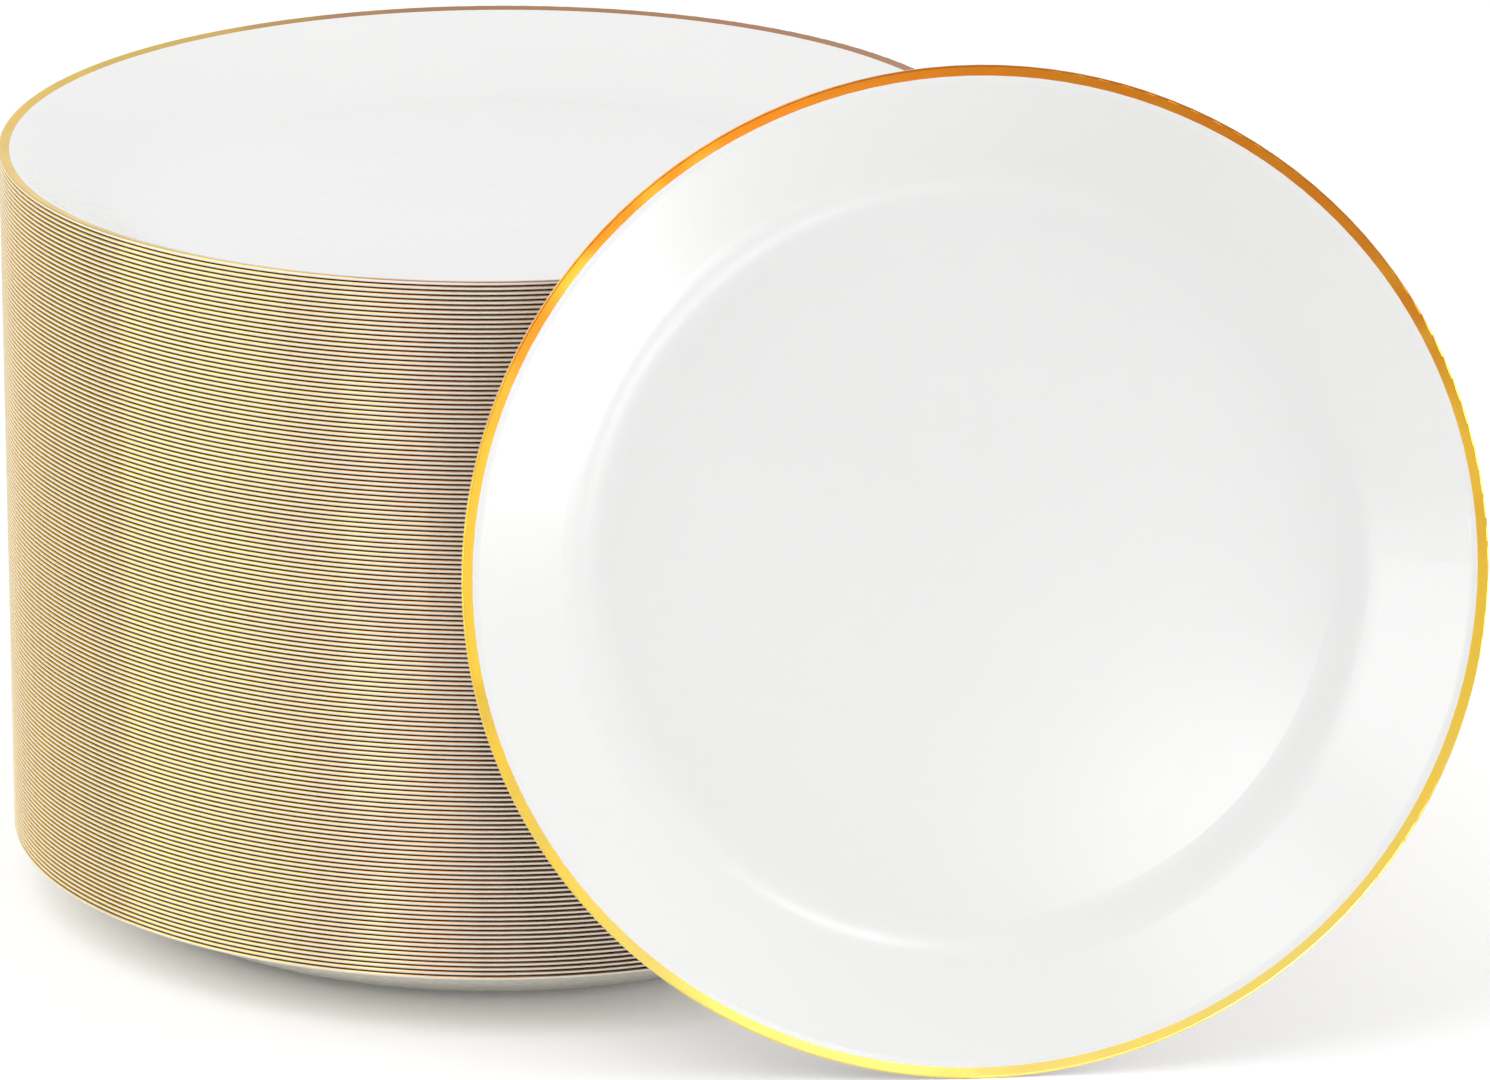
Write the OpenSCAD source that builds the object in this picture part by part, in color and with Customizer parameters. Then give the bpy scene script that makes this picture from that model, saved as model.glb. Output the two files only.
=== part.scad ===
// A tall stack of round plastic plates with a gold foil edge, and one more plate that leans on its front.
// Every plate is one thin moulding. A low ring under its well stands in the well of the plate below.
// +Z is up, the front is -Y, and the origin is on the floor, in the middle of the stack.

/* [Stack] */
// Plates in the stack
plate_count = 150; // [60:1:200]
// Groups that the plates under the top one are sorted in, from the floor up
group_count = 25; // [10:1:27]

/* [Plate] */
// Diameter over the rim
plate_d = 260; // [240:1:320]
// Thickness of the moulding from the well to the lip
wall = 0.95; // [0.7:0.05:1.2]
// Diameter of the flat well
well_d = 184; // [180:1:200]
// Radius of the upper face where the well turns up into the flare
heel_r = 26; // [10:1:40]
// Slope of the flare
flare_angle = 28; // [20:1:36]
// Radius of the upper face where the flare bends over into the lip
bend_r = 6; // [2:0.5:10]
// Slope of the lip
lip_angle = 13; // [0:1:18]
// Width of the lip, from the bend to the edge
lip_w = 3.2; // [3:0.1:8]
// Gap between a foot and the well that it stands in
nest_gap = 0.02; // [0.01:0.01:0.2]

/* [Foot ring] */
// Diameter over the ring
foot_d = 176; // [120:1:180]
// Width of the ring
foot_w = 3; // [1:0.5:6]
// Height of the ring under the well
foot_h = 0.28; // [0.2:0.02:1]

/* [Gold foil] */
// Width of the foil, from its inner line to the edge
foil_w = 2.75; // [1:0.05:3]
// Thickness of the foil, which lies flush in the lip
foil_t = 0.15; // [0.1:0.01:0.25]
// How far the foil turns down over the round edge, from the top of the lip
foil_turn = 75; // [5:1:80]

/* [Front plate] */
// Lean of the front plate, from upright
lean = 8; // [3:1:25]
// Its middle, to the right of the middle of the stack
front_x = 114; // [80:1:140]
// Gap between its back and the stack that it leans on
lean_gap = 0.3; // [0.1:0.1:1]

/* [Hidden] */
$fn = 96;

// Plates inside the stack are seen by their edges alone, so their curves are made of straight sides:
// a number of them round the edge, and one for so many degrees of the heel and of the bend
$fine = true;
edge_sides = 8;
side_turn = 15;

// Nesting: each foot stands in the well below it
pitch = foot_h + wall + nest_gap;

// The underside of the heel and of the bend are arcs about the same centres as the upper face
heel_under_r = heel_r + wall;
bend_under_r = bend_r - wall;
heel_z = foot_h + wall + heel_r;
lip_l = lip_w - wall / 2;
edge_r = plate_d / 2 - wall / 2;

// The flare is as long as it takes to reach the rim
lip_run = lip_l * cos(lip_angle) - wall / 2 * sin(lip_angle);
bend_run = bend_under_r * (sin(flare_angle) - sin(lip_angle));
heel_run = heel_under_r * sin(flare_angle);
flare_l = (edge_r - lip_run - bend_run - heel_run - well_d / 2) / cos(flare_angle);

// Heights over the floor under the foot
flare_z = heel_z - heel_under_r * cos(flare_angle);
lip_z = flare_z + flare_l * sin(flare_angle) + bend_under_r * (cos(lip_angle) - cos(flare_angle));
edge_z = lip_z + lip_l * sin(lip_angle) + wall / 2 * cos(lip_angle);
plate_h = edge_z + wall / 2;
stack_h = (plate_count - 1) * pitch + plate_h;

// Outline of the underside, from the foot to the edge, as radius and height
heel_steps = 24;
underside = concat(
    [[foot_d / 2, 0]],
    [for (i = [0 : heel_steps])
        let (a = flare_angle * i / heel_steps)
        [well_d / 2 + heel_under_r * sin(a), heel_z - heel_under_r * cos(a)]],
    [[edge_r - lip_run, lip_z], [edge_r, edge_z - wall / 2], [plate_d / 2, edge_z]]
);

// The front plate's edge stands on the floor
front_z = edge_r * cos(lean) - edge_z * sin(lean) + wall / 2;

// A point of its underside, at the angle turn about its axis, lies this far right, up and behind its foot
function side_of(p, turn) = front_x + p[0] * cos(turn);
function height_of(p, turn) = front_z + p[0] * sin(turn) * cos(lean) + p[1] * sin(lean);
function behind(p, turn) = p[0] * sin(turn) * sin(lean) - p[1] * cos(lean);

// Depth of the stack at a distance to the side of its middle
function stack_depth(x) = sqrt(pow(plate_d / 2, 2) - x * x);

// The plate comes forward until no point of its back is in the stack
front_y = lean_gap + max([
    for (p = underside, turn = [90 : 270])
        let (x = side_of(p, turn))
        if (abs(x) < plate_d / 2 && height_of(p, turn) < stack_h)
            behind(p, turn) + stack_depth(x)
]);

function first_plate(group) = floor(group * (plate_count - 1) / group_count);
function group_name(kind, group) = str(kind, group < 9 ? "_0" : "_", group + 1);

// Half of the plane, left or right of the Y axis
module left_half(size) {
    translate([-size, -size])
        square([size, 2 * size]);
}

module right_half(size) {
    translate([0, -size])
        square([size, 2 * size]);
}

// A ring of wall about the origin
module round_wall(inner_r) {
    difference() {
        circle(inner_r + wall);
        circle(inner_r);
    }
}

// What lies outside the straight sides about a circle. They start straight below it for a turn
// to the left, and straight above it for one to the right.
module outside(r, turn) {
    sides = ceil(abs(turn) / side_turn);
    for (i = [0 : sides])
        rotate(i * turn / sides)
            translate([-2 * r, turn > 0 ? -3 * r : r])
                square([4 * r, 2 * r]);
}

module sided_wall(inner_r, turn) {
    difference() {
        outside(inner_r, turn);
        outside(inner_r + wall, turn);
    }
}

// The stretch of wall from the start on, for one turn
module curved_wall(inner_r, turn) {
    reach = 2 * (inner_r + wall);
    difference() {
        union() {
            if ($fine) round_wall(inner_r);
            else sided_wall(inner_r, turn);
        }
        left_half(reach);
        rotate(turn)
            right_half(reach);
    }
}

// Each frame starts where the last stretch of the section ends, and X runs out along the underside
module heel_frame() {
    translate([well_d / 2, heel_z])
        children();
}

module flare_frame() {
    heel_frame()
        rotate(flare_angle)
            translate([0, -heel_under_r])
                children();
}

module bend_frame() {
    flare_frame()
        translate([flare_l, -bend_under_r])
            children();
}

module lip_frame() {
    bend_frame()
        rotate(lip_angle - flare_angle)
            translate([0, bend_under_r])
                children();
}

// The lip's edge is round, about this point of the lip's frame
module edge_frame() {
    translate([lip_l, wall / 2])
        children();
}

module edge_circle(size) {
    edge_frame()
        circle(d = size, $fn = $fine ? $fn : edge_sides);
}

module lip_section() {
    square([lip_l, wall]);
    edge_circle(wall);
}

// The foil covers the upper face of the lip and turns a little way down over its edge
module foil_section() {
    difference() {
        lip_section();
        square([lip_l, wall - foil_t]);
        edge_circle(wall - 2 * foil_t);
        translate([-wall, -wall])
            square([wall + lip_w - foil_w, 3 * wall]);
        edge_frame()
            rotate(-foil_turn)
                right_half(wall);
    }
}

module plate_outline() {
    translate([0, foot_h])
        square([well_d / 2, wall]);
    translate([foot_d / 2 - foot_w, 0])
        square([foot_w, foot_h]);
    heel_frame()
        curved_wall(heel_r, flare_angle);
    flare_frame()
        square([flare_l, wall]);
    bend_frame()
        curved_wall(bend_under_r, lip_angle - flare_angle);
    lip_frame()
        lip_section();
}

module plate_section() {
    difference() {
        plate_outline();
        lip_frame()
            foil_section();
    }
}

// Plates of the stack from one number up to another, counted from the floor
module plates(first, last) {
    color([0.96, 0.96, 0.95])
        rotate_extrude()
            for (i = [first : last])
                translate([0, i * pitch])
                    plate_section();
}

// The foils of the same plates
module foils(first, last) {
    color([0.83, 0.62, 0.22])
        rotate_extrude()
            for (i = [first : last])
                translate([0, i * pitch])
                    lip_frame()
                        foil_section();
}

// The front plate is the lowest plate of the stack, moved out and stood up
module stand_in_front() {
    translate([front_x, -front_y, front_z])
        rotate([90 - lean, 0, 0])
            children();
}

for (g = [0 : group_count - 1]) {
    first = first_plate(g);
    last = first_plate(g + 1) - 1;
    plates(first, last, $fine = false);
    foils(first, last, $fine = false);
}
plates(plate_count - 1, plate_count - 1);  // top_plate
foils(plate_count - 1, plate_count - 1);  // top_foil
stand_in_front() plates(0, 0);  // front_plate
stand_in_front() foils(0, 0);  // front_foil
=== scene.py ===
"""Looks of a tall stack of white plastic plates with gold foil edges, and of the plate that leans on it.

Lengths are in metres. +Z is up, the front is -Y, and the origin is on the floor, in the middle of the stack.
"""

import math

import bpy
from bpy.props import FloatProperty, FloatVectorProperty, PointerProperty
from bpy.types import Operator, Panel, PropertyGroup
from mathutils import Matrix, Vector

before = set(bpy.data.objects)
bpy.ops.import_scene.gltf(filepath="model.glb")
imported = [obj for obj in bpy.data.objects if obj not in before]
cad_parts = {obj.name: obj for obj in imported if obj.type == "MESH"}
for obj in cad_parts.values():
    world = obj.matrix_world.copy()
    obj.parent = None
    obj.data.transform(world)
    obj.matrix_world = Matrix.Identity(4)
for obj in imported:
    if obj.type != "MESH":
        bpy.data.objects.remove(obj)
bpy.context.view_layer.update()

bl_info = {
    "name": "Plate stack",
    "version": (1, 0, 0),
    "blender": (4, 5, 0),
    "location": "View3D > Sidebar > Plates",
    "description": "Finishes a stack of gold-edged plastic plates and lights it for a picture",
    "category": "Object",
}

MM = 0.001

# From one plate of the stack to the next, and from the floor to the lowest edge
PITCH = 1.25 * MM
EDGE_HEIGHT = 16.2 * MM
# Halfway down to the edge below, one plate's tone gives way to the next
FIRST_EDGE = EDGE_HEIGHT - PITCH / 2

# The noise texture lies between these nearly everywhere
NOISE_RANGE = (0.3, 0.7)

# The plastic: patches of tone, shallow waves left by cooling, and fine scuffs
PATCH_SCALE = 9.0
PATCH_DETAIL = 3.0
WAVE_SCALE = 38.0
WAVE_DEPTH = 0.12 * MM
SCUFF_SCALE = 420.0
SCUFF_RANGE = (0.35, 0.75)
PLASTIC_ROUGHNESS = (0.2, 0.27)
PLASTIC_IOR = 1.55
# The darkest tone as a share of the palest, and a plate's own tone as a share of the whole
DARKEST_TONE = 0.98
OWN_TONE = 0.7

# The foil: how unevenly it was pressed on, and where its run of tones starts and ends; that run is painted
# reflection and shade, paler or darker gold by how light falls on each part of the rim
PRESS_SCALE = 60.0
PRESS_TONE = (-0.06, 0.06)
FOIL_ROUGHNESS = (0.14, 0.22)
STACK_PAINTED_SHADE_SPAN = (-160 * MM, 0.0)
FRONT_PAINTED_LIGHT_SPAN = (-60 * MM, 280 * MM)

# The floor: a disc of matt paper, which glows a little so that it ends in the white of the room
FLOOR_SIDES = 96
SPECK_SCALE = 30.0
SPECK_TONE = 0.995
FLOOR_GLOW = 0.07

# Soft lamps: the place of each, its size and its watts
LAMP_TARGET = (0.06, 0.0, 0.12)
SOFTBOXES = {
    "key": ((-1.7, -0.6, 2.1), (3.0, 3.0), 42.0),
    "right": ((1.6, -0.4, 0.5), (0.8, 0.8), 12.0),
}

# Lamps of the highlights: the place of each, its size, its brightness and the point that it faces
HIGHLIGHTS = {
    "patch": ((0.253, -0.308, 0.018), (0.1, 0.08), 9.0, (0.019, -0.143, 0.183)),
    "streak": ((0.234, -0.544, 0.013), (0.1, 0.1), 5.0, (0.03, -0.14, 0.17)),
    "glint": ((0.384, -1.2, 0.52), (0.16, 0.16), 8.0, (0.06, -0.15, 0.05)),
    "sheen": ((-0.62, -0.82, 0.2), (0.6, 0.5), 2.5, (0.22, -0.15, 0.13)),
    "glow": ((-0.545, -1.03, 1.01), (0.6, 0.6), 1.8, (0.19, -0.15, 0.05)),
}


class Value:
    """A socket that gives a number. Arithmetic on it adds Math nodes."""

    def __init__(self, graph, socket):
        self.graph = graph
        self.socket = socket

    def math(self, operation, *terms):
        return self.graph.node("ShaderNodeMath", {"operation": operation}, dict(enumerate(terms)))

    def __add__(self, other):
        return self.math("ADD", self, other)

    def __radd__(self, other):
        return self.math("ADD", other, self)

    def __sub__(self, other):
        return self.math("SUBTRACT", self, other)

    def __rsub__(self, other):
        return self.math("SUBTRACT", other, self)

    def __mul__(self, other):
        return self.math("MULTIPLY", self, other)

    def __rmul__(self, other):
        return self.math("MULTIPLY", other, self)

    def __truediv__(self, other):
        return self.math("DIVIDE", self, other)

    def __rtruediv__(self, other):
        return self.math("DIVIDE", other, self)

    def floor(self):
        return self.math("FLOOR", self)

    def ramp(self, low, high, to_low=0.0, to_high=1.0):
        """Runs smoothly from one number to another between two values of this one."""
        settings = {"interpolation_type": "SMOOTHSTEP"}
        values = {"Value": self, "From Min": low, "From Max": high, "To Min": to_low, "To Max": to_high}
        return self.graph.node("ShaderNodeMapRange", settings, values)

    def beside(self, out):
        """Another output of the same node."""
        return Value(self.graph, self.socket.node.outputs[out])


class Graph:
    """The node tree of one material or world, filled from Python expressions."""

    def __init__(self, owner):
        owner.use_nodes = True
        self.tree = owner.node_tree
        self.tree.nodes.clear()

    def node(self, kind, settings=None, values=None, out=0):
        """Adds a node: its settings first, then the numbers or links of its sockets. Gives one output."""
        made = self.tree.nodes.new(kind)
        for name, setting in (settings or {}).items():
            setattr(made, name, setting)
        for name, value in (values or {}).items():
            socket = made.inputs[name]
            if isinstance(value, Value):
                self.tree.links.new(value.socket, socket)
            else:
                socket.default_value = value
        return Value(self, made.outputs[out]) if made.outputs else made

    def position(self):
        return self.node("ShaderNodeTexCoord", out="Object")

    def along(self, axis):
        """How far a point lies along the axis X, Y or Z."""
        return self.node("ShaderNodeSeparateXYZ", None, {0: self.position()}, axis)

    def seen(self):
        """1 where the camera looks, straight or by way of a glossy surface, and 0 for all other light."""
        straight = self.node("ShaderNodeLightPath", out="Is Camera Ray")
        return straight + straight.beside("Is Glossy Ray")

    def noise(self, scale, detail=1.0):
        """Soft spots all over, so many to the metre."""
        values = {"Vector": self.position(), "Scale": scale, "Detail": detail, "Roughness": 0.5}
        return self.node("ShaderNodeTexNoise", None, values, "Fac")

    def blend(self, factor, first, second):
        """A colour between two colours."""
        settings = {"data_type": "RGBA", "clamp_factor": True}
        return self.node("ShaderNodeMix", settings, {0: factor, 6: first, 7: second}, 2)

    def bump(self, height, distance):
        """Bumps as high as the distance where the height is 1."""
        return self.node("ShaderNodeBump", None, {"Height": height, "Distance": distance, "Strength": 1.0})

    def surface(self, values):
        """Ends the tree in a Principled shader with these socket values."""
        shader = self.node("ShaderNodeBsdfPrincipled", None, values)
        self.node("ShaderNodeOutputMaterial", None, {"Surface": shader})


def rgba(color):
    """A colour with its alpha, as a socket takes it."""
    return (*color, 1.0)


def scaled(color, factor):
    """The same for a share of the colour."""
    return rgba([channel * factor for channel in color])


def plastic_material(name, color, in_stack):
    """Glossy moulded plastic. Plates of the stack differ a little in tone from one to the next."""
    material = bpy.data.materials.new(name)
    graph = Graph(material)
    tone = graph.noise(PATCH_SCALE, PATCH_DETAIL).ramp(*NOISE_RANGE)
    if in_stack:
        number = ((graph.along("Z") - FIRST_EDGE) / PITCH).floor()
        own = graph.node("ShaderNodeTexWhiteNoise", {"noise_dimensions": "1D"}, {"W": number}, "Value")
        tone = tone * (1 - OWN_TONE) + own * OWN_TONE
    values = {
        "Base Color": graph.blend(tone, scaled(color, DARKEST_TONE), rgba(color)),
        "Roughness": graph.noise(SCUFF_SCALE).ramp(*SCUFF_RANGE, *PLASTIC_ROUGHNESS),
        "Normal": graph.bump(graph.noise(WAVE_SCALE), WAVE_DEPTH),
        "IOR": PLASTIC_IOR,
    }
    graph.surface(values)
    return material


def foil_material(name, axis, limits, colors):
    """Hot-stamped gold film, a bright metal. Along an axis it runs over three colours between two limits,
    which paint reflection and shade: paler or darker gold by how light falls on the rim.
    """
    material = bpy.data.materials.new(name)
    graph = Graph(material)
    press = graph.noise(PRESS_SCALE)
    tone = graph.along(axis).ramp(*limits) + press.ramp(*NOISE_RANGE, *PRESS_TONE)
    # The three colours are painted light: bright and dim reflections of the gold laid into its colour
    first, middle, last = (rgba(color) for color in colors)
    near = graph.blend(tone.ramp(0.0, 0.5), first, middle)
    values = {
        "Base Color": graph.blend(tone.ramp(0.5, 1.0), near, last),
        "Metallic": 1.0,
        "Roughness": press.ramp(*NOISE_RANGE, *FOIL_ROUGHNESS),
    }
    graph.surface(values)
    return material


def dress(node, material):
    """Puts a finish on a CAD node."""
    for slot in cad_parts[node].material_slots:
        slot.material = material


def nodes_of(kind):
    """The CAD nodes of one kind of piece in the stack: the groups and the top one."""
    names = sorted(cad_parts)
    found = [name for name in names if name.startswith(kind + "s_") or name == "top_" + kind]
    if not found:
        raise RuntimeError(f"the frame holds no {kind} of the stack")
    return found


class PlateSettings(PropertyGroup):
    """The plates' finishes."""

    plastic_color: FloatVectorProperty(
        name="Plastic", description="Colour of the plates",
        subtype="COLOR", size=3, min=0, max=1, default=(0.79, 0.79, 0.785),
    )
    # Painted reflection: the cream tint stands for gold light bounced between the stacked edges, not for a
    # colour of the plastic
    gold_bounce_edge_color: FloatVectorProperty(
        name="Edges", description="Colour of the stacked plates, whose edges take up some gold",
        subtype="COLOR", size=3, min=0, max=1, default=(0.8, 0.76, 0.66),
    )
    foil_color: FloatVectorProperty(
        name="Foil", description="Colour of the gold film",
        subtype="COLOR", size=3, min=0, max=1, default=(0.8, 0.52, 0.06),
    )
    # Painted highlight: pale gold painted at the bottom of the front plate's foil for the bright reflection
    # there
    painted_highlight_foil_color: FloatVectorProperty(
        name="Foil, pale", description="Colour of the film at the bottom of the front plate",
        subtype="COLOR", size=3, min=0, max=1, default=(0.9, 0.7, 0.18),
    )
    # Painted shade: deep orange gold painted at the top of the front plate's foil for the darker reflection
    # there
    painted_deep_shade_foil_color: FloatVectorProperty(
        name="Foil, deep", description="Colour of the film at the top of the front plate",
        subtype="COLOR", size=3, min=0, max=1, default=(0.46, 0.145, 0.012),
    )
    # Painted shade: dimmer gold painted between the stack's left side and its front, where its foil reflects
    # less light
    painted_dim_foil_color: FloatVectorProperty(
        name="Foil, dim", description="Colour of the film between the stack's left side and its front",
        subtype="COLOR", size=3, min=0, max=1, default=(0.62, 0.42, 0.09),
    )
    # Painted shade: dark rosy gold painted at the front of the stack for the darker reflections there
    painted_rosy_shade_foil_color: FloatVectorProperty(
        name="Foil, rosy", description="Colour of the film at the front of the stack",
        subtype="COLOR", size=3, min=0, max=1, default=(0.4, 0.2, 0.1),
    )


class StageSettings(PropertyGroup):
    """The floor, the light of the room and the camera."""

    floor_radius: FloatProperty(
        name="Floor", description="Radius of the floor", default=6.0, min=1.0, unit="LENGTH",
    )
    floor_color: FloatVectorProperty(
        name="Floor colour", description="Colour of the floor",
        subtype="COLOR", size=3, min=0, max=1, default=(0.96, 0.96, 0.96),
    )
    room_strength: FloatProperty(
        name="Room light", description="Light that comes from all round", default=0.7, min=0.0,
    )
    camera_target: FloatVectorProperty(
        name="Camera target", description="Point that the camera looks at",
        subtype="XYZ", unit="LENGTH", size=3, default=(0.066, 0.0, 0.0899),
    )
    camera_distance: FloatProperty(
        name="Camera distance", description="From the camera to the point it looks at",
        default=2.758, min=0.5, unit="LENGTH",
    )
    camera_height: FloatProperty(
        name="Camera height", description="Angle of the camera above the level",
        subtype="ANGLE", default=math.radians(18.44),
    )
    camera_turn: FloatProperty(
        name="Camera turn", description="Angle of the camera round the stack, to the right of the front",
        subtype="ANGLE", default=math.radians(-4.06),
    )
    camera_lens: FloatProperty(
        name="Lens", description="Focal length", default=250.0, min=10.0, unit="CAMERA",
    )


class PLATES_OT_stack(Operator):
    """Finish the plates of the stack."""

    bl_idname = "plates.stack"
    bl_label = "Stacked plates"

    def execute(self, context):
        settings = context.scene.plates
        # The stack's plastic takes the cream colour of painted gold reflection, not a colour of its own
        stacked = plastic_material("stacked_plastic", settings.gold_bounce_edge_color, True)
        for node in nodes_of("plate"):
            dress(node, stacked)
        dress("top_plate", plastic_material("top_plastic", settings.plastic_color, False))
        return {"FINISHED"}


class PLATES_OT_front(Operator):
    """Finish the plate that leans on the stack."""

    bl_idname = "plates.front"
    bl_label = "Front plate"

    def execute(self, context):
        settings = context.scene.plates
        dress("front_plate", plastic_material("front_plastic", settings.plastic_color, False))
        return {"FINISHED"}


class PLATES_OT_foil(Operator):
    """Finish the gold foil of every plate."""

    bl_idname = "plates.foil"
    bl_label = "Gold foil"

    def execute(self, context):
        settings = context.scene.plates
        # Painted reflection and shade: along X the stack's foil runs from its own gold at the left to dim
        # and rosy gold at the front
        stack_colors = settings.foil_color, settings.painted_dim_foil_color, settings.painted_rosy_shade_foil_color
        stacked = foil_material("stacked_foil", "X", STACK_PAINTED_SHADE_SPAN, stack_colors)
        for node in nodes_of("foil"):
            dress(node, stacked)
        # Painted reflection and shade: up the front plate the foil runs from pale gold at the bottom to deep
        # orange at the top
        front_colors = settings.painted_highlight_foil_color, settings.foil_color, settings.painted_deep_shade_foil_color
        dress("front_foil", foil_material("front_foil", "Z", FRONT_PAINTED_LIGHT_SPAN, front_colors))
        return {"FINISHED"}


def place_on_stage(thing):
    bpy.context.scene.collection.objects.link(thing)


def aim(thing, target):
    """Turns a lamp or a camera to look at a point."""
    thing.rotation_euler = (Vector(target) - thing.location).to_track_quat("-Z", "Y").to_euler()


def softbox(name, place, size, power, target):
    """A soft rectangular lamp."""
    light = bpy.data.lights.new(name, "AREA")
    light.shape = "RECTANGLE"
    light.size, light.size_y = size
    light.energy = power
    lamp = bpy.data.objects.new(name, light)
    lamp.location = place
    aim(lamp, target)
    place_on_stage(lamp)
    return lamp


def highlight(name, place, size, brightness, target):
    """A lamp that only shows as a highlight on glossy surfaces, equally bright at any size."""
    width, height = size
    lamp = softbox(name, place, size, brightness * math.pi * width * height, target)
    lamp.visible_camera = False
    lamp.visible_diffuse = False


def floor_material(color):
    """Matt white paper."""
    material = bpy.data.materials.new("floor")
    graph = Graph(material)
    speck = graph.noise(SPECK_SCALE)
    values = {
        "Base Color": graph.blend(speck, scaled(color, SPECK_TONE), rgba(color)),
        "Roughness": 0.9,
        "Specular IOR Level": 0.1,
        "Emission Color": graph.blend(graph.seen(), rgba((0, 0, 0)), scaled((1, 1, 1), FLOOR_GLOW)),
        "Emission Strength": 1.0,
    }
    graph.surface(values)
    return material


def add_floor(radius, color):
    """A round floor, put in the scene."""
    turns = [math.tau * i / FLOOR_SIDES for i in range(FLOOR_SIDES)]
    rim = [(radius * math.cos(turn), radius * math.sin(turn), 0) for turn in turns]
    mesh = bpy.data.meshes.new("floor")
    mesh.from_pydata(rim, [], [list(range(FLOOR_SIDES))])
    mesh.materials.append(floor_material(color))
    floor = bpy.data.objects.new("floor", mesh)
    place_on_stage(floor)


def light_room(strength):
    """Even light from all round, which is white wherever it is seen."""
    world = bpy.data.worlds.new("room")
    bpy.context.scene.world = world
    graph = Graph(world)
    level = graph.seen().ramp(0.0, 1.0, strength, 1.0)
    light = graph.node("ShaderNodeBackground", None, {"Color": (1, 1, 1, 1), "Strength": level})
    graph.node("ShaderNodeOutputWorld", None, {"Surface": light})


def add_camera(settings):
    """Stands the camera at its distance from the target, along its two angles, and aims it there."""
    camera = bpy.data.objects.new("camera", bpy.data.cameras.new("camera"))
    target = Vector(settings.camera_target)
    height, turn = settings.camera_height, settings.camera_turn
    back = Vector((math.sin(turn) * math.cos(height), -math.cos(turn) * math.cos(height), math.sin(height)))
    camera.location = target + back * settings.camera_distance
    aim(camera, target)
    camera.data.lens = settings.camera_lens
    camera.data.sensor_width = 36.0
    camera.data.clip_end = 50.0
    place_on_stage(camera)
    bpy.context.scene.camera = camera


class PLATES_OT_stage(Operator):
    """Set the floor, the lamps and the camera."""

    bl_idname = "plates.stage"
    bl_label = "Stage"

    def execute(self, context):
        settings = context.scene.plate_stage
        context.scene.view_settings.view_transform = "Standard"
        add_floor(settings.floor_radius, settings.floor_color)
        light_room(settings.room_strength)
        for name, (place, size, power) in SOFTBOXES.items():
            softbox(name, place, size, power, LAMP_TARGET)
        for name, (place, size, brightness, spot) in HIGHLIGHTS.items():
            highlight(name, place, size, brightness, spot)
        add_camera(settings)
        return {"FINISHED"}


PIECES = (PLATES_OT_stack, PLATES_OT_front, PLATES_OT_foil, PLATES_OT_stage)


class PLATES_PT_sidebar(Panel):
    """Lists the pieces and the stage."""

    bl_idname = "PLATES_PT_sidebar"
    bl_label = "Plates"
    bl_space_type = "VIEW_3D"
    bl_region_type = "UI"
    bl_category = "Plates"

    def draw(self, context):
        for piece in PIECES:
            self.layout.operator(piece.bl_idname)
        for settings in (context.scene.plates, context.scene.plate_stage):
            for name in settings.__annotations__:
                self.layout.prop(settings, name)


CLASSES = (PlateSettings, StageSettings, *PIECES, PLATES_PT_sidebar)


def register():
    for cls in CLASSES:
        bpy.utils.register_class(cls)
    bpy.types.Scene.plates = PointerProperty(type=PlateSettings)
    bpy.types.Scene.plate_stage = PointerProperty(type=StageSettings)


def unregister():
    del bpy.types.Scene.plate_stage
    del bpy.types.Scene.plates
    for cls in reversed(CLASSES):
        bpy.utils.unregister_class(cls)


def main():
    register()
    bpy.ops.plates.stack()
    bpy.ops.plates.front()
    bpy.ops.plates.foil()
    bpy.ops.plates.stage()


if __name__ == "__main__":
    main()
